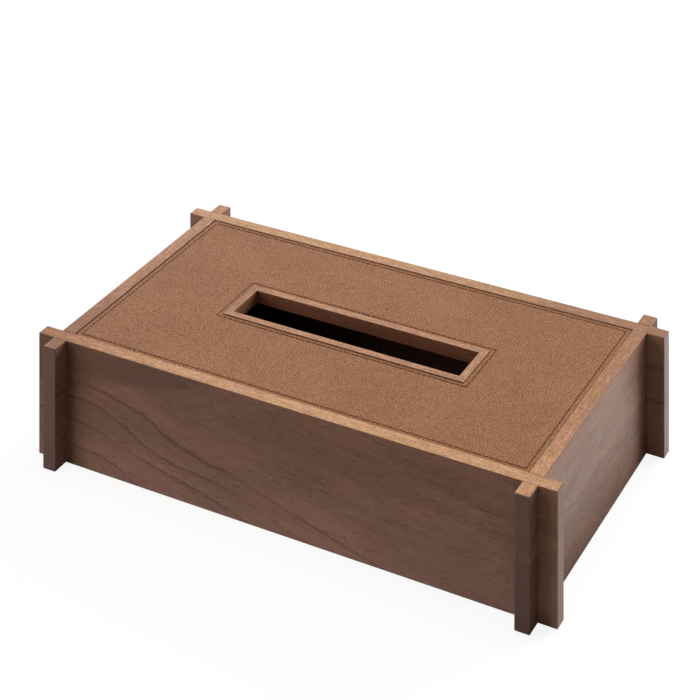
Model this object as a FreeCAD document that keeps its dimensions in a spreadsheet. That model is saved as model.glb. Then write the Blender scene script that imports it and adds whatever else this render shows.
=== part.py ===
"""Low walnut tissue box with a lift-out lid covered in leather.

Four boards on edge cross at the corners in half-lap joints and run on as short horns.
A leather-covered panel rests between them on ledges, and a tissue slot lined with thin
walnut strips goes through its middle.

Frame: +Z up, +X along the box, the front towards -Y, the origin in the middle of the
underside. Sizes are in millimetres.
"""
import FreeCAD, Part
import os
import re
import Sketcher
from FreeCAD import Vector

SIZES = {
    # the four boards
    "box_length": 300,
    "box_width": 180,
    "box_height": 65,
    "board_thickness": 8,
    "horn_length": 10,           # how far a board runs on past the crossing
    "edge_round": 0.5,           # softening of the boards' edges
    # the floor
    "base_rise": 3,              # the floor's underside above the table
    "base_thickness": 5,
    "base_tongue": 3,            # how far the floor reaches into the walls' grooves
    "groove_slack": 0.5,         # spare depth of the grooves
    "base_lining_thickness": 1,
    "base_lining_gap": 0.5,
    # the ledges under the lid
    "ledge_width": 8,
    "ledge_depth": 8,
    # the lid
    "lid_gap": 0.5,              # between the leather's edge and the boards
    "leather_inset": 0.5,        # the leather's top below the boards' top
    "leather_thickness": 1,
    "leather_round": 0.6,
    "lid_board_thickness": 5,
    "lid_lining_thickness": 0.5,
    # the tissue slot and its frame
    "slot_length": 136,
    "slot_width": 25,
    "slot_strip_width": 4.5,
    # the two rows of stitching
    "edge_stitch_inset": 2.2,    # from the leather's edge to the thread
    "slot_stitch_inset": 2.5,    # from the slot's frame to the thread
    "thread_width": 0.7,
    "crease_depth": 0.3,
    "thread_proud": 0.1,
    # what holds the lid down
    "magnet_diameter": 4,
    "magnet_thickness": 2,
    "steel_disc_thickness": 1,
    "magnet_end_distance": 24,   # from the end walls to a magnet's middle
    "magnet_side_distance": 4.5, # from the long walls to a magnet's middle
}

# Formulas that several pieces share, written with the names above.
INNER_LENGTH = "(box_length - 2 * (horn_length + board_thickness))"
INNER_WIDTH = "(box_width - 2 * (horn_length + board_thickness))"
LONG_BOARD_Y = "(box_width / 2 - horn_length - board_thickness / 2)"
END_BOARD_X = "(box_length / 2 - horn_length - board_thickness / 2)"
BASE_TOP = "(base_rise + base_thickness)"
LEATHER_TOP = "(box_height - leather_inset)"
LID_BOARD_TOP = f"({LEATHER_TOP} - leather_thickness)"
LID_BOARD_UNDERSIDE = f"({LID_BOARD_TOP} - lid_board_thickness)"
LID_UNDERSIDE = f"({LID_BOARD_UNDERSIDE} - lid_lining_thickness)"
LEATHER_LENGTH = f"({INNER_LENGTH} - 2 * lid_gap)"
LEATHER_WIDTH = f"({INNER_WIDTH} - 2 * lid_gap)"
LID_BOARD_LENGTH = f"({LEATHER_LENGTH} - 2 * leather_thickness)"
LID_BOARD_WIDTH = f"({LEATHER_WIDTH} - 2 * leather_thickness)"
FRAME_LENGTH = "(slot_length + 2 * slot_strip_width)"
FRAME_WIDTH = "(slot_width + 2 * slot_strip_width)"
MAGNET_X = f"({INNER_LENGTH} / 2 - magnet_end_distance)"
MAGNET_Y = f"({INNER_WIDTH} / 2 - magnet_side_distance)"

doc = FreeCAD.newDocument("tissue_box")
sheet = doc.addObject("Spreadsheet::Sheet", "sizes")
for row, (size_name, millimetres) in enumerate(SIZES.items(), start=1):
    sheet.set(f"A{row}", size_name)
    sheet.set(f"B{row}", str(millimetres))
    sheet.setAlias(f"B{row}", size_name)
doc.recompute()


# ---------------------------------------------------------------- drawing helpers

def formula(words):
    """An expression in which each size's name points at its cell in the sheet."""
    return re.sub(r"[a-z][a-z_]+", lambda name: "sizes." + name.group(), str(words))


def new_body(name):
    """An empty body whose label names its STEP file."""
    body = doc.addObject("PartDesign::Body", name)
    body.Label = name
    return body


def new_sketch(body, name, level):
    """A sketch on the body's own XY plane, raised to a level."""
    sketch = body.newObject("Sketcher::SketchObject", name)
    planes = [item for item in body.Origin.OriginFeatures if item.Role == "XY_Plane"]
    sketch.AttachmentSupport = [(planes[0], "")]
    sketch.MapMode = "FlatFace"
    sketch.setExpression("AttachmentOffset.Base.z", formula(level))
    return sketch


def pin_point(sketch, line, vertex, x, y):
    """Hold one point of a sketch at a place given by two formulas."""
    for direction, distance in (("DistanceX", x), ("DistanceY", y)):
        index = sketch.addConstraint(Sketcher.Constraint(direction, -1, 1, line, vertex, 1.0))
        sketch.setExpression(f"Constraints[{index}]", formula(distance))


def draw_polygon(sketch, corners):
    """A closed outline through corners that are pairs of formulas."""
    count = len(corners)
    first = sketch.GeometryCount
    ring = [Vector(index, index * index, 0) for index in range(count)]
    for index in range(count):
        sketch.addGeometry(Part.LineSegment(ring[index], ring[(index + 1) % count]), False)
    for index in range(count):
        following = first + (index + 1) % count
        sketch.addConstraint(Sketcher.Constraint("Coincident", first + index, 2, following, 1))
    for index, (x, y) in enumerate(corners):
        pin_point(sketch, first + index, 1, x, y)


def draw_rectangle(sketch, length, width, middle_x="0", middle_y="0"):
    """A rectangle of the given length along X and width along Y."""
    west, east = (f"{middle_x} {sign} {length} / 2" for sign in "-+")
    south, north = (f"{middle_y} {sign} {width} / 2" for sign in "-+")
    draw_polygon(sketch, [(west, south), (east, south), (east, north), (west, north)])


def draw_circle(sketch, diameter, x, y):
    """A circle of the given diameter round a point."""
    index = sketch.addGeometry(Part.Circle(Vector(0, 0, 0), Vector(0, 0, 1), 1.0), False)
    pin_point(sketch, index, 3, x, y)
    size = sketch.addConstraint(Sketcher.Constraint("Diameter", index, 2.0))
    sketch.setExpression(f"Constraints[{size}]", formula(diameter))


def pad(body, sketch, height):
    """Raise a sketch by a height."""
    feature = body.newObject("PartDesign::Pad", sketch.Name + "_pad")
    feature.Profile = sketch
    feature.setExpression("Length", formula(height))
    return feature


def cut_upwards(body, sketch, height):
    """Cut a sketch's outline away, from its own level up by a height."""
    feature = body.newObject("PartDesign::Pocket", sketch.Name + "_cut")
    feature.Profile = sketch
    feature.Reversed = True
    feature.setExpression("Length", formula(height))
    return feature


def soften(body, feature, radius, wanted=lambda edge: True):
    """Round the edges of a feature that are wanted."""
    doc.recompute()
    edges = enumerate(feature.Shape.Edges, start=1)
    names = [f"Edge{index}" for index, edge in edges if wanted(edge)]
    rounding = body.newObject("PartDesign::Fillet", feature.Name + "_round")
    rounding.Base = (feature, names)
    rounding.setExpression("Radius", formula(radius))
    return rounding


def plain_block(name, length, width, height, level, middle_x="0", middle_y="0"):
    """A body that is one padded rectangle."""
    body = new_body(name)
    sketch = new_sketch(body, name + "_plan", level)
    draw_rectangle(sketch, length, width, middle_x, middle_y)
    return body, pad(body, sketch, height)


def signs(*names):
    """Each name with its sign: the pieces on the low side, then those on the high side."""
    return zip(names, ("-", "+"))


# ---------------------------------------------------------------- the case

def long_wall(name, side):
    """A front or back board, notched from below where the end boards cross it."""
    body, board = plain_block(name, "box_length", "board_thickness", "box_height", "0",
                              middle_y=f"0 {side} {LONG_BOARD_Y}")
    soften(body, board, "edge_round")
    notches = new_sketch(body, name + "_notches", "0")
    for end in "-+":
        draw_rectangle(notches, "board_thickness", "board_thickness",
                       f"0 {end} {END_BOARD_X}", f"0 {side} {LONG_BOARD_Y}")
    cut_upwards(body, notches, "box_height / 2")
    groove = new_sketch(body, name + "_groove", "base_rise")
    depth = "(base_tongue + groove_slack)"
    draw_rectangle(groove, INNER_LENGTH, depth,
                   middle_y=f"0 {side} ({INNER_WIDTH} / 2 + {depth} / 2)")
    cut_upwards(body, groove, "base_thickness")
    return body


def end_wall(name, side):
    """A left or right board, notched from above where the long boards cross it."""
    body, board = plain_block(name, "board_thickness", "box_width", "box_height", "0",
                              middle_x=f"0 {side} {END_BOARD_X}")
    soften(body, board, "edge_round")
    notches = new_sketch(body, name + "_notches", "box_height / 2")
    for end in "-+":
        draw_rectangle(notches, "board_thickness", "board_thickness",
                       f"0 {side} {END_BOARD_X}", f"0 {end} {LONG_BOARD_Y}")
    cut_upwards(body, notches, "box_height / 2")
    groove = new_sketch(body, name + "_groove", "base_rise")
    depth = "(base_tongue + groove_slack)"
    draw_rectangle(groove, depth, f"({INNER_WIDTH} + 2 * {depth})",
                   middle_x=f"0 {side} ({INNER_LENGTH} / 2 + {depth} / 2)")
    cut_upwards(body, groove, "base_thickness")
    return body


def base_board():
    """The floor, a tongue's width wider than the inside on every side."""
    body, _ = plain_block("base_board", f"({INNER_LENGTH} + 2 * base_tongue)",
                          f"({INNER_WIDTH} + 2 * base_tongue)", "base_thickness", "base_rise")
    return body


def base_lining():
    """Felt on the floor, a little short of the walls."""
    body, _ = plain_block("base_lining", f"({INNER_LENGTH} - 2 * base_lining_gap)",
                          f"({INNER_WIDTH} - 2 * base_lining_gap)",
                          "base_lining_thickness", BASE_TOP)
    return body


def long_ledge(name, side):
    """A ledge along a long wall, with blind holes for two magnets in its top."""
    body, _ = plain_block(name, INNER_LENGTH, "ledge_width", "ledge_depth",
                          f"{LID_UNDERSIDE} - ledge_depth",
                          middle_y=f"0 {side} ({INNER_WIDTH} / 2 - ledge_width / 2)")
    holes = new_sketch(body, name + "_holes", f"{LID_UNDERSIDE} - magnet_thickness")
    for end in "-+":
        draw_circle(holes, "magnet_diameter", f"0 {end} {MAGNET_X}", f"0 {side} {MAGNET_Y}")
    cut_upwards(body, holes, "magnet_thickness")
    return body


def end_ledge(name, side):
    """A ledge along an end wall, between the two long ledges."""
    body, _ = plain_block(name, "ledge_width", f"({INNER_WIDTH} - 2 * ledge_width)",
                          "ledge_depth", f"{LID_UNDERSIDE} - ledge_depth",
                          middle_x=f"0 {side} ({INNER_LENGTH} / 2 - ledge_width / 2)")
    return body


def four_discs(name, thickness, level):
    """Four equal discs, one over each other's mirror image, as one group of solids."""
    discs = []
    for x_side in "-+":
        for y_side in "-+":
            disc = doc.addObject("Part::Cylinder", f"{name}_disc")
            disc.setExpression("Radius", formula("magnet_diameter / 2"))
            disc.setExpression("Height", formula(thickness))
            disc.setExpression("Placement.Base.x", formula(f"0 {x_side} {MAGNET_X}"))
            disc.setExpression("Placement.Base.y", formula(f"0 {y_side} {MAGNET_Y}"))
            disc.setExpression("Placement.Base.z", formula(level))
            discs.append(disc)
    group = doc.addObject("Part::Compound", name)
    group.Links = discs
    group.Label = name
    return group


# ---------------------------------------------------------------- the lid

def lid_board():
    """The stiff board, with a window for the slot's frame and holes for the steel discs."""
    body, _ = plain_block("lid_board", LID_BOARD_LENGTH, LID_BOARD_WIDTH,
                          "lid_board_thickness", LID_BOARD_UNDERSIDE)
    window = new_sketch(body, "lid_board_window", LID_BOARD_UNDERSIDE)
    draw_rectangle(window, FRAME_LENGTH, FRAME_WIDTH)
    cut_upwards(body, window, "lid_board_thickness")
    holes = new_sketch(body, "lid_board_holes", LID_BOARD_UNDERSIDE)
    for x_side in "-+":
        for y_side in "-+":
            draw_circle(holes, "magnet_diameter", f"0 {x_side} {MAGNET_X}",
                        f"0 {y_side} {MAGNET_Y}")
    cut_upwards(body, holes, "steel_disc_thickness")
    return body


def lid_lining():
    """Cloth glued under the lid board, with the same window."""
    body, _ = plain_block("lid_lining", LID_BOARD_LENGTH, LID_BOARD_WIDTH,
                          "lid_lining_thickness", LID_UNDERSIDE)
    window = new_sketch(body, "lid_lining_window", LID_UNDERSIDE)
    draw_rectangle(window, FRAME_LENGTH, FRAME_WIDTH)
    cut_upwards(body, window, "lid_lining_thickness")
    return body


def stitch_rings():
    """The middle lines of the two rows of stitching, as lengths along X and Y."""
    edge_ring = (f"({LEATHER_LENGTH} - 2 * edge_stitch_inset)",
                 f"({LEATHER_WIDTH} - 2 * edge_stitch_inset)")
    slot_ring = (f"({FRAME_LENGTH} + 2 * slot_stitch_inset)",
                 f"({FRAME_WIDTH} + 2 * slot_stitch_inset)")
    return {"edge_stitching": edge_ring, "slot_stitching": slot_ring}


def draw_ring(sketch, ring):
    """A thread-wide band that follows a rectangular middle line."""
    for side in "+-":
        length, width = (f"({extent} {side} thread_width)" for extent in ring)
        draw_rectangle(sketch, length, width)


def lid_leather():
    """Leather over the board and down its edges, creased where the stitches lie."""
    skirt = f"({LEATHER_TOP} - {LID_BOARD_UNDERSIDE})"
    body, block = plain_block("lid_leather", LEATHER_LENGTH, LEATHER_WIDTH, skirt,
                              LID_BOARD_UNDERSIDE)
    doc.recompute()
    underside = block.Shape.BoundBox.ZMin
    soften(body, block, "leather_round", lambda edge: edge.BoundBox.ZMax > underside + 1e-6)
    hollow = new_sketch(body, "lid_leather_hollow", LID_BOARD_UNDERSIDE)
    draw_rectangle(hollow, LID_BOARD_LENGTH, LID_BOARD_WIDTH)
    cut_upwards(body, hollow, "lid_board_thickness")
    window = new_sketch(body, "lid_leather_window", LID_BOARD_UNDERSIDE)
    draw_rectangle(window, FRAME_LENGTH, FRAME_WIDTH)
    cut_upwards(body, window, skirt)
    for name, ring in stitch_rings().items():
        crease = new_sketch(body, name + "_crease", f"{LEATHER_TOP} - crease_depth")
        draw_ring(crease, ring)
        cut_upwards(body, crease, "crease_depth")
    return body


def stitching(name, ring):
    """A row of stitches as one closed thread that fills its crease and stands a little proud."""
    body = new_body(name)
    thread = new_sketch(body, name + "_plan", f"{LEATHER_TOP} - crease_depth")
    draw_ring(thread, ring)
    pad(body, thread, "(crease_depth + thread_proud)")
    return body


def slot_strip(name, corners):
    """One strip of the slot's frame, as deep as the lid and level with the boards' top."""
    body = new_body(name)
    plan = new_sketch(body, name + "_plan", LID_UNDERSIDE)
    draw_polygon(plan, corners)
    pad(body, plan, f"box_height - {LID_UNDERSIDE}")
    return body


def slot_frame():
    """Four strips mitred at the corners."""
    inner_x, inner_y = "slot_length / 2", "slot_width / 2"
    outer_x, outer_y = f"{FRAME_LENGTH} / 2", f"{FRAME_WIDTH} / 2"
    strips = []
    for name, side in signs("slot_frame_front", "slot_frame_back"):
        corners = [(f"-{outer_x}", f"0 {side} {outer_y}"), (outer_x, f"0 {side} {outer_y}"),
                   (inner_x, f"0 {side} {inner_y}"), (f"-{inner_x}", f"0 {side} {inner_y}")]
        strips.append(slot_strip(name, corners))
    for name, side in signs("slot_frame_left", "slot_frame_right"):
        corners = [(f"0 {side} {outer_x}", f"-{outer_y}"), (f"0 {side} {outer_x}", outer_y),
                   (f"0 {side} {inner_x}", inner_y), (f"0 {side} {inner_x}", f"-{inner_y}")]
        strips.append(slot_strip(name, corners))
    return strips


# ---------------------------------------------------------------- build, check, write

pieces = []
for wall_name, wall_side in signs("front_wall", "back_wall"):
    pieces.append(long_wall(wall_name, wall_side))
for wall_name, wall_side in signs("left_end_wall", "right_end_wall"):
    pieces.append(end_wall(wall_name, wall_side))
pieces += [base_board(), base_lining()]
for ledge_name, ledge_side in signs("lid_rest_front", "lid_rest_back"):
    pieces.append(long_ledge(ledge_name, ledge_side))
for ledge_name, ledge_side in signs("lid_rest_left", "lid_rest_right"):
    pieces.append(end_ledge(ledge_name, ledge_side))
pieces.append(four_discs("lid_magnets", "magnet_thickness",
                         f"{LID_UNDERSIDE} - magnet_thickness"))
pieces += [lid_board(), lid_leather(), lid_lining()]
pieces.append(four_discs("lid_steel_discs", "steel_disc_thickness", LID_BOARD_UNDERSIDE))
pieces += slot_frame()
for thread_name, thread_ring in stitch_rings().items():
    pieces.append(stitching(thread_name, thread_ring))
doc.recompute()

failed = [item.Name for item in doc.Objects if {"Invalid", "Error"} & set(item.State)]
if failed:
    raise RuntimeError("these objects failed: " + ", ".join(failed))
for piece in pieces:
    if piece.Shape.isNull() or not piece.Shape.isValid():
        raise RuntimeError(piece.Label + " has no valid shape")

os.makedirs("parts", exist_ok=True)
for piece in pieces:
    piece.Shape.exportStep(f"parts/{piece.Label}.step")
    print(f"{piece.Label}: {len(piece.Shape.Solids)} solid(s), {piece.Shape.Volume:.1f} mm3")
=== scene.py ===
"""The looks of a low walnut tissue box with a lift-out lid covered in tan leather.

Everything is in metres, in the part's own frame: +Z up, +X along the box, front towards -Y.
"""
import math

import bmesh
import bpy
import numpy as np
from mathutils import Matrix, Vector


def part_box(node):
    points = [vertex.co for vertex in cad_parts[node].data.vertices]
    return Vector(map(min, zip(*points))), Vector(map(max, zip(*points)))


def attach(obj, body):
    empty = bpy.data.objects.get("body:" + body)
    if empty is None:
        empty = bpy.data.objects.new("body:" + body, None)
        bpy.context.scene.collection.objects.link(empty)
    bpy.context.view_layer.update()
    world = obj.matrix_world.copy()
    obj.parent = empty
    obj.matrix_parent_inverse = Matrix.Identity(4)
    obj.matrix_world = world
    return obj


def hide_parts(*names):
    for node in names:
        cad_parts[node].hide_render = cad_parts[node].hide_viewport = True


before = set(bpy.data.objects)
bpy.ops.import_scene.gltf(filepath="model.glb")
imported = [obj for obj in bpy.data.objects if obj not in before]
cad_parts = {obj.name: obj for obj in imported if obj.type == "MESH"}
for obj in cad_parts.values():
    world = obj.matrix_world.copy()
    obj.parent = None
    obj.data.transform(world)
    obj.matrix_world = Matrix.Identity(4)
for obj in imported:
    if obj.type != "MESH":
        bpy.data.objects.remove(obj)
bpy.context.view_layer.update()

MM = 0.001

# ------------------------------------------------------------------ sizes from the frame

LEATHER_LOW, LEATHER_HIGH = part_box("lid_leather")
LEATHER_HALF = np.array([LEATHER_HIGH.x, LEATHER_HIGH.y])
LEATHER_TOP = LEATHER_HIGH.z
LID_BOARD_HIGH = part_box("lid_board")[1]
LID_BOARD_HALF = np.array([LID_BOARD_HIGH.x, LID_BOARD_HIGH.y])
LINING_LOW, LINING_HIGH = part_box("lid_lining")
LINING_HALF = np.array([LINING_HIGH.x, LINING_HIGH.y])
FELT_LOW, FELT_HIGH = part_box("base_lining")
FRAME_LOW, FRAME_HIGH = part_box("slot_frame_front")
FRAME_HALF = np.array([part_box("slot_frame_right")[1].x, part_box("slot_frame_back")[1].y])
SLOT_HALF = np.array([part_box("slot_frame_right")[0].x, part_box("slot_frame_back")[0].y])
THREAD_WIDTH = 0.7 * MM
EDGE_ROW = np.array(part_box("edge_stitching")[1])[:2] - THREAD_WIDTH / 2
SLOT_ROW = np.array(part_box("slot_stitching")[1])[:2] - THREAD_WIDTH / 2
STITCH_PITCH = 3.25 * MM


# ------------------------------------------------------------------ mesh helpers

def add_mesh(name, points, faces, smooth=True):
    """A closed mesh object, with its place in its mesh and its faces outwards."""
    mesh = bpy.data.meshes.new(name)
    mesh.from_pydata(points.tolist(), [], faces)
    count = len(mesh.polygons)
    centre, normal, area = np.zeros(count * 3), np.zeros(count * 3), np.zeros(count)
    mesh.polygons.foreach_get("center", centre)
    mesh.polygons.foreach_get("normal", normal)
    mesh.polygons.foreach_get("area", area)
    if (centre.reshape(-1, 3) * normal.reshape(-1, 3)).sum(axis=1) @ area < 0:
        mesh.flip_normals()
    mesh.polygons.foreach_set("use_smooth", np.full(count, smooth))
    mesh.validate()
    piece = bpy.data.objects.new(name, mesh)
    bpy.context.scene.collection.objects.link(piece)
    return piece


def grid_faces(rows, columns, close_rows=False, close_columns=False):
    """Quads over a grid of rows by columns, each closed on itself where asked.

    The face at (i, j) joins (i, j), (i, j + 1), (i + 1, j + 1) and (i + 1, j).
    """
    i = np.arange(rows if close_rows else rows - 1)[:, None]
    j = np.arange(columns if close_columns else columns - 1)[None, :]
    i_next, j_next = (i + 1) % rows, (j + 1) % columns
    corners = [i * columns + j, i * columns + j_next, i_next * columns + j_next, i_next * columns + j]
    return np.stack([c.ravel() for c in corners], axis=1)


def rounded_rectangle(side_x, side_y, corner):
    """A rounded rectangle's parts, counter-clockwise from its front left.

    A point is (half size - radius) times the first part, a point of the unit square's
    outline, plus radius times the second part, the outward normal.
    """
    turn = np.linspace(0, math.pi / 2, corner, endpoint=False)
    on_square, normal = [], []
    for quarter, steps in enumerate((side_x, side_y, side_x, side_y)):
        spin = quarter * math.pi / 2
        run = np.linspace(-1, 1, steps, endpoint=False)
        start = np.array([[-1.0, -1.0]]) + np.stack([run + 1, run * 0], axis=1)
        rotation = np.array([[math.cos(spin), math.sin(spin)], [-math.sin(spin), math.cos(spin)]])
        on_square += [start @ rotation, np.tile([[1.0, -1.0]] @ rotation, (corner, 1))]
        angle = spin - math.pi / 2 + turn
        normal += [np.tile([math.sin(spin), -math.cos(spin)], (steps, 1)),
                   np.stack([np.cos(angle), np.sin(angle)], axis=1)]
    return np.concatenate(on_square), np.concatenate(normal)


def ring_skin(name, rings, steps, shape=None):
    """A closed skin through rounded rectangles, each (half size, corner radius, level).

    The rings run round the section of the skin and the last joins the first. shape, where
    given, takes the points' places in plan and their levels, and returns new levels.
    """
    on_square, normal = rounded_rectangle(*steps)
    half = np.stack([ring[0] for ring in rings])[:, None, :]
    radius = np.array([ring[1] for ring in rings])[:, None, None]
    level = np.repeat(np.array([ring[2] for ring in rings])[:, None], len(on_square), axis=1)
    plan = on_square * (half - radius) + normal * radius
    if shape:
        level = shape(plan, level)
    points = np.concatenate([plan, level[..., None]], axis=2).reshape(-1, 3)
    faces = grid_faces(len(rings), len(on_square), close_rows=True, close_columns=True)
    return add_mesh(name, points, faces.tolist())


# ------------------------------------------------------------------ the leather

LEATHER_CORNER = 1.2 * MM
LEAST_CORNER = 0.3 * MM
INNER_CORNER = 1.5 * MM
FRAME_CORNER = 0.05 * MM
LEATHER_FULL = 0.25 * MM
LEATHER_ROUND = 0.3 * MM
FRAME_SIDE_ROUND = 0.35 * MM
UNEVENNESS = 0.03 * MM
CREASE_DEPTH = 0.25 * MM
CREASE_WIDTH = 0.33 * MM
HOLE_DEPTH = 0.16 * MM
SWELL = 0.05 * MM
SWELL_REACH = 1.6 * MM
LEATHER_STEPS = (480, 258, 6)


def stitch_counts(half):
    """Whole stitches on the sides of a row along X and along Y."""
    return np.maximum(1, np.round(2 * half / STITCH_PITCH)).astype(int)


def holes(plan, half):
    """1 at each needle hole of a rectangular row and 0 half way between two.

    It is the squared cosine of half a turn for each stitch, along the nearer side.
    """
    run = (plan + half) / (2 * half / stitch_counts(half))
    on_long_side = np.abs(plan[..., 1]) - half[1] > np.abs(plan[..., 0]) - half[0]
    return np.cos(math.pi * np.where(on_long_side, run[..., 0], run[..., 1])) ** 2


def crease(plan, half):
    """How far the leather is pulled down near a row of stitches.

    A bell-shaped groove along the row, deeper at its holes, less a slight swell at both
    sides of it.
    """
    distance = (np.abs(plan) - half).max(axis=2)
    groove = np.exp(-(distance / CREASE_WIDTH) ** 2)
    swell = np.exp(-((np.abs(distance) - SWELL_REACH) / SWELL_REACH) ** 2)
    return (CREASE_DEPTH + HOLE_DEPTH * holes(plan, half)) * groove - SWELL * swell


def leather_levels(plan, level):
    """The leather's top, pulled down at both rows, with a slow unevenness.

    The unevenness is a product of two sines, one for each direction, and each is bent by
    a sine of the other direction.
    """
    x, y = plan[..., 0], plan[..., 1]
    uneven = np.sin(x * 61 + 0.7 + np.sin(y * 47)) * np.sin(y * 83 + 0.4 + np.sin(x * 39))
    drop = crease(plan, EDGE_ROW) + crease(plan, SLOT_ROW) + UNEVENNESS * uneven
    return np.where(level > LEATHER_TOP - FRAME_SIDE_ROUND, level - SWELL - drop, level)


def leather_cover():
    """One skin: up beside the slot's frame, over the board, down the lid's edge and back.

    At the top of the edge it stands out by a quarter of a millimetre, as padded leather
    does. Its rings lie closest together across the two rows of stitches.
    """
    rings = [(FRAME_HALF, FRAME_CORNER, LID_BOARD_HIGH.z)]
    for angle in np.linspace(0, math.pi / 2, 4):
        out = FRAME_SIDE_ROUND * (1 - math.cos(angle))
        drop = FRAME_SIDE_ROUND * (1 - math.sin(angle))
        rings.append((FRAME_HALF + out, FRAME_CORNER + out, LEATHER_TOP - drop))
    beside_frame = np.array([0.55, 0.9, 1.3, 1.65, 1.95, 2.2, 2.38, 2.5, 2.62, 2.8, 3.05, 3.35,
                             3.8, 4.6, 6.0]) * MM
    rings += [(FRAME_HALF + out, FRAME_CORNER + out * 0.3, LEATHER_TOP) for out in beside_frame]
    inside_edge = np.array([6.0, 4.6, 3.6, 3.1, 2.8, 2.55, 2.34, 2.2, 2.06, 1.85, 1.6, 1.3, 1.0,
                            0.75]) * MM
    outer = LEATHER_HALF + LEATHER_FULL
    first, last = FRAME_HALF + beside_frame[-1], LEATHER_HALF - inside_edge[0]
    rings += [(first + (last - first) * share, INNER_CORNER, LEATHER_TOP)
              for share in np.linspace(0, 1, 9)[1:-1]]
    rings += [(LEATHER_HALF - back, max(LEATHER_CORNER - back, LEAST_CORNER), LEATHER_TOP)
              for back in inside_edge]
    for angle in np.linspace(0, math.pi / 2, 6):
        back = LEATHER_ROUND * (1 - math.sin(angle))
        drop = LEATHER_ROUND * (1 - math.cos(angle))
        rings.append((outer - back, LEATHER_CORNER - back, LEATHER_TOP - drop))
    rings += [(outer, LEATHER_CORNER, (LEATHER_TOP + LEATHER_LOW.z) / 2),
              (LEATHER_HALF, LEATHER_CORNER, LEATHER_LOW.z),
              (LID_BOARD_HALF, LEAST_CORNER, LEATHER_LOW.z),
              (LID_BOARD_HALF, LEAST_CORNER, LID_BOARD_HIGH.z)]
    return ring_skin("leather_cover", rings, LEATHER_STEPS, leather_levels)


# ------------------------------------------------------------------ the stitches

STITCH_RINGS = 7
STITCH_SIDES = 6
THREAD_RADIUS = THREAD_WIDTH / 2
THREAD_FLATNESS = 0.85
END_TAPER = 0.35
STITCH_SHARE = 0.88
STITCH_FOOT = 0.42 * MM
STITCH_ARCH = 0.26 * MM
STITCH_SLANT = math.tan(math.radians(8))


def stitch_row(name, half):
    """Every stitch of a rectangular row, as one piece.

    Along a stitch t runs from -1 to 1. Its middle line is an arch of height 1 - t^4, with
    its foot sunk in the leather, and slants a little across the row. Its radius shrinks by
    a share that grows as t^6 to both ends, and its section is slightly flattened.
    """
    t = np.linspace(-1, 1, STITCH_RINGS)
    turn = np.linspace(0, 2 * math.pi, STITCH_SIDES, endpoint=False)
    counts = stitch_counts(half)
    middles, ways, reaches = [], [], []
    for way in ((1, 0), (0, 1), (-1, 0), (0, -1)):
        axis = abs(way[1])
        count = counts[axis]
        run = ((np.arange(count) + 0.5) / count * 2 - 1)[:, None] * np.abs(way)
        away = np.array([way[1], -way[0]])
        middles.append((run + away) * half)
        ways.append(np.tile(way, (count, 1)))
        reaches.append(np.full(count, half[axis] / count * STITCH_SHARE))
    middle, way, reach = np.concatenate(middles), np.concatenate(ways), np.concatenate(reaches)
    across_way = np.stack([-way[:, 1], way[:, 0]], axis=1)
    radius = (THREAD_RADIUS * (1 - END_TAPER * t ** 6))[:, None]
    along = reach[:, None, None] * t[:, None] + 0 * turn
    across = along * STITCH_SLANT + radius * np.cos(turn)
    arch = LEATHER_TOP - STITCH_FOOT + STITCH_ARCH * (1 - t ** 4)
    level = arch[:, None] + radius * THREAD_FLATNESS * np.sin(turn) + 0 * along
    plan = (middle[:, None, None] + along[..., None] * way[:, None, None]
            + across[..., None] * across_way[:, None, None])
    points = np.concatenate([plan, level[..., None]], axis=3).reshape(-1, 3)
    step = STITCH_RINGS * STITCH_SIDES
    starts = np.arange(len(middle))[:, None, None] * step
    sides = (grid_faces(STITCH_RINGS, STITCH_SIDES, close_columns=True) + starts).reshape(-1, 4)
    first = np.arange(STITCH_SIDES)[::-1] + starts[:, 0]
    last = np.arange(step - STITCH_SIDES, step) + starts[:, 0]
    return add_mesh(name, points, sides.tolist() + first.tolist() + last.tolist())


# ------------------------------------------------------------------ the slot's frame

STRIP_ROUND = 0.2 * MM


def frame_strip(name, along, side):
    """A mitred strip: a rounded rectangle carried from one mitre to the other.

    At a distance w outside the slot's edge the strip runs to plus and minus (half the slot
    on that side + w), which cuts both mitres.
    """
    on_square, normal = rounded_rectangle(1, 1, 4)
    size = np.array([FRAME_HALF[0] - SLOT_HALF[0], FRAME_HIGH.z - FRAME_LOW.z])
    section = size / 2 + on_square * (size / 2 - STRIP_ROUND) + normal * STRIP_ROUND
    steps = np.linspace(-1, 1, 13)
    points = np.zeros((len(steps), len(section), 3))
    points[..., along] = steps[:, None] * (SLOT_HALF[along] + section[:, 0])
    points[..., 1 - along] = side * (SLOT_HALF[1 - along] + section[:, 0])
    points[..., 2] = FRAME_LOW.z + section[:, 1]
    rows, columns = points.shape[:2]
    faces = grid_faces(rows, columns, close_columns=True).tolist()
    faces += [list(range(columns))[::-1], list(range((rows - 1) * columns, rows * columns))]
    return add_mesh(name, points.reshape(-1, 3), faces, smooth=False)


# ------------------------------------------------------------------ the linings

CLOTH_RIM = 1.5 * MM
FELT_RIPPLE = 0.04 * MM
WELD_WITHIN = 1e-7


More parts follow.
